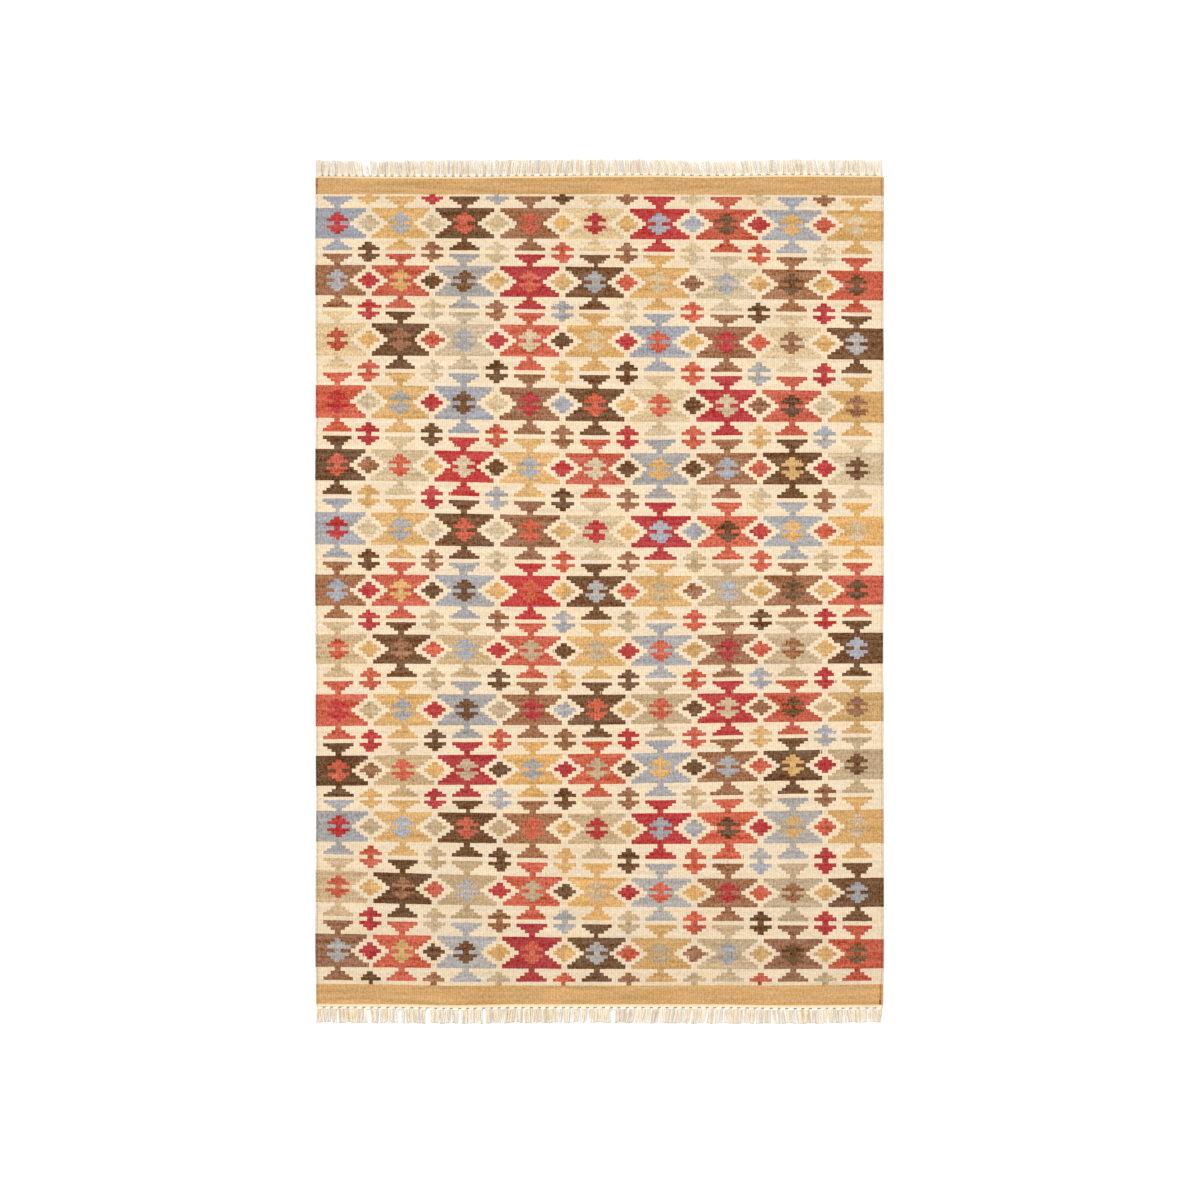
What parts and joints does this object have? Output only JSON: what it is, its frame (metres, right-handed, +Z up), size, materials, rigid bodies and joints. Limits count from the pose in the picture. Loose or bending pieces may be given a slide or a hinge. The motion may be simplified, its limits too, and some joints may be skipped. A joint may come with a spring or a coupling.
{
  "type": "flat-woven kilim rug",
  "caption": "Rectangular flat-woven wool kilim with stepped hourglass and diamond motifs in bands, plain end bands and a knotted fringe at both ends, lying flat.",
  "frame": {"origin": "on the floor, under the middle of the rug with its fringes", "axes": "+X across the rug, +Y along it towards the end that is at the top of the picture, +Z up out of the face"},
  "size_m": [1.6, 2.4344, 0.0056],
  "materials": {
    "woven_wool": "matte weft-faced wool in cream, tan, crimson, rust, browns, gold, grey-blue and taupe",
    "fringe_yarn": "matte undyed ivory yarn"
  },
  "bodies": {
    "root": {"rug_cloth": "woven_wool", "fringe_top_end": "fringe_yarn", "fringe_bottom_end": "fringe_yarn"}
  },
  "joints": []
}
